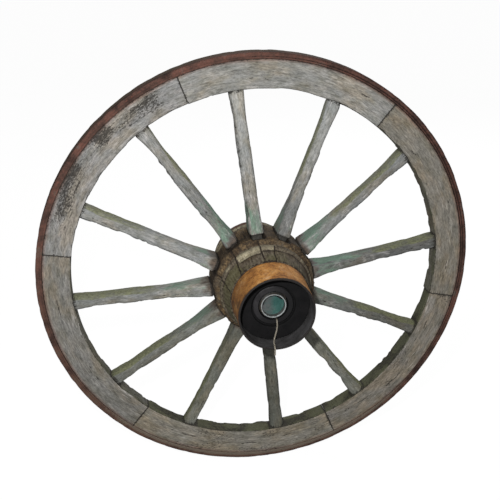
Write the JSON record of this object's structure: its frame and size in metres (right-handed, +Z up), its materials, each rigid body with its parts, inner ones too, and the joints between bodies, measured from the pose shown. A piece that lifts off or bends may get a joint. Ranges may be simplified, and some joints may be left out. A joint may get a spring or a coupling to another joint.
{
  "type": "cart wheel",
  "caption": "Weathered wooden cart wheel: iron tyre, jointed felloes, dished spokes and turned nave, turning on a steel axle tube with a scrap of twine.",
  "frame": {"origin": "on the axle's axis, in the middle plane of the rim, inside the axle tube's bore", "axes": "+Y along the axle towards its free stub at the back, -Y towards the nose of the nave, +Z up, +X to the right seen from the nose"},
  "size_m": [0.8699, 0.372, 0.87],
  "materials": {
    "tyre_iron": "rusty, rough",
    "felloe_wood": "weathered bare oak",
    "spoke_wood": "weathered, with faded green paint",
    "hidden_wood": "raw oak",
    "nave_wood": "weathered, cracked elm",
    "nose_iron": "orange rust outside, black inside",
    "breech_iron": "dull, old paint over rust",
    "box_iron": "greasy black iron",
    "tube_steel": "cut steel, dull zinc",
    "plug_steel": "chalky grey-green paint",
    "dark_steel": "blackened steel",
    "twine": "twisted jute"
  },
  "bodies": {
    "axle": {"axle_tube": "tube_steel", "tube_plug": "plug_steel", "retaining_ring": "dark_steel", "rear_collar": "dark_steel", "set_screw": "dark_steel", "twine_hitch": "twine", "twine": "twine"},
    "wheel": {"tyre": "tyre_iron", "felloe_1": "felloe_wood", "felloe_2": "felloe_wood", "felloe_3": "felloe_wood", "felloe_4": "felloe_wood", "felloe_5": "felloe_wood", "felloe_6": "felloe_wood", "felloe_dowels": "hidden_wood", "spoke_1": "spoke_wood", "spoke_2": "spoke_wood", "spoke_3": "spoke_wood", "spoke_4": "spoke_wood", "spoke_5": "spoke_wood", "spoke_6": "spoke_wood", "spoke_7": "spoke_wood", "spoke_8": "spoke_wood", "spoke_9": "spoke_wood", "spoke_10": "spoke_wood", "spoke_11": "spoke_wood", "spoke_12": "spoke_wood", "tongue_wedges": "hidden_wood", "nave": "nave_wood", "nose_hoop": "nose_iron", "breech_hoop": "breech_iron", "axle_box": "box_iron"}
  },
  "joints": [
    {"name": "wheel_spin", "type": "hinge", "parent": "axle", "child": "wheel", "pos_m": [0, 0, 0], "axis": [0, 1, 0], "continuous": true}
  ]
}
